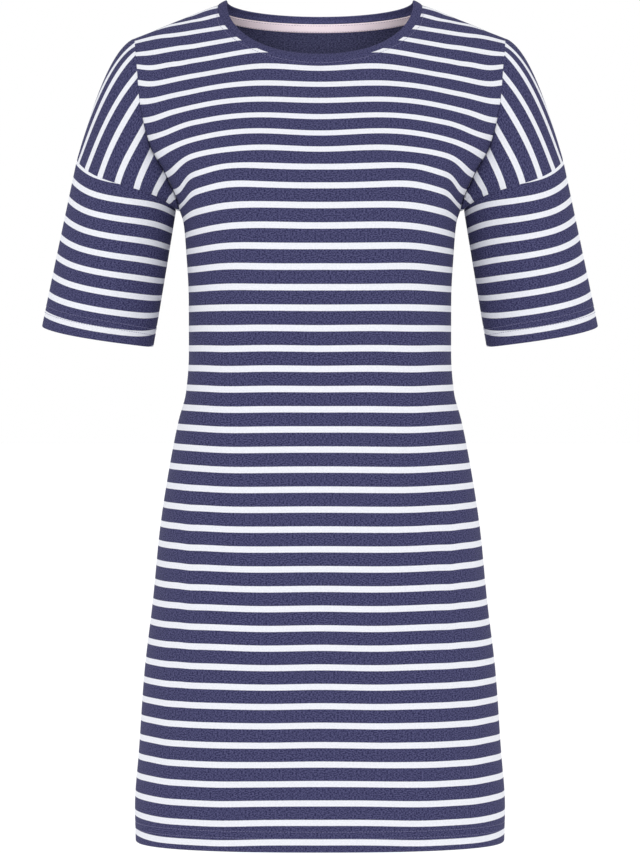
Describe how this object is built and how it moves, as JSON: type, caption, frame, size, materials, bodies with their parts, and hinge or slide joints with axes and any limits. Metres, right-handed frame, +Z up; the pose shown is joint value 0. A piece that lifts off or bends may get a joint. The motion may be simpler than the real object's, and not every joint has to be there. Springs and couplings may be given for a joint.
{
  "type": "nightshirt",
  "caption": "Short-sleeved striped jersey nightshirt with a round neck, filled out as worn; hollow, open at neck, sleeves and hem.",
  "frame": {"origin": "middle of the neck opening at the height of its highest points, where the wearer's shoulders hold the garment up", "axes": "+Z up, the front faces -Y, and +X is the wearer's left"},
  "size_m": [0.5872, 0.2471, 0.8869],
  "materials": {
    "striped_jersey": "matte knitted jersey, navy with white stripes",
    "rib": "matte fine rib, plain navy",
    "plain_jersey": "matte knitted jersey, plain navy",
    "tape": "matte woven tape, pale pink"
  },
  "bodies": {
    "root": {"front": "striped_jersey", "back": "striped_jersey", "sleeve_cap_left": "striped_jersey", "sleeve_cap_right": "striped_jersey", "sleeve_lower_left": "striped_jersey", "sleeve_lower_right": "striped_jersey", "neckband": "rib", "neck_patch": "plain_jersey", "neck_tape": "tape"}
  },
  "joints": []
}
